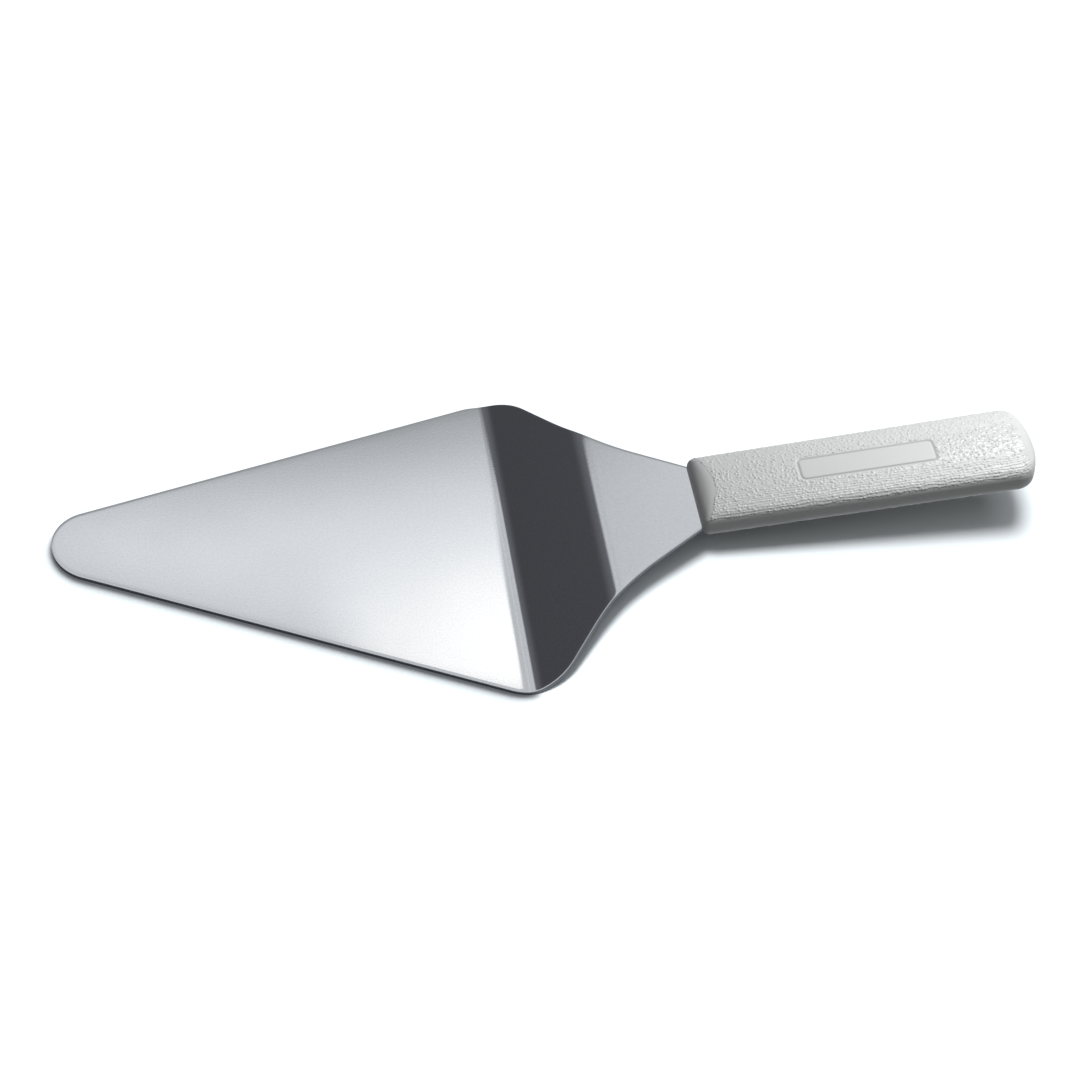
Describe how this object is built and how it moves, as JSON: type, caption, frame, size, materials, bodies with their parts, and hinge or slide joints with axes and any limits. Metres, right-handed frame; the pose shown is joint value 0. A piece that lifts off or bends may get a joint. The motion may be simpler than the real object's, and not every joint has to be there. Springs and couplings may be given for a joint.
{
  "type": "pizza server",
  "caption": "Flat pizza server: wide triangular stainless steel blade with a cranked shoulder and neck, and a textured pale plastic handle moulded round its tang.",
  "frame": {"origin": "on the underside of the blade's flat, on the plane of symmetry, half way between the tip and the shoulder bend", "axes": "+X runs from the blade's tip to the handle's butt, +Z stands up off the flat, and the XZ plane is the plane of symmetry"},
  "size_m": [0.3298, 0.127, 0.0569],
  "materials": {
    "stainless_steel": "satin",
    "handle_plastic": "matte"
  },
  "bodies": {
    "root": {"blade_with_tang": "stainless_steel", "moulded_handle": "handle_plastic"}
  },
  "joints": []
}
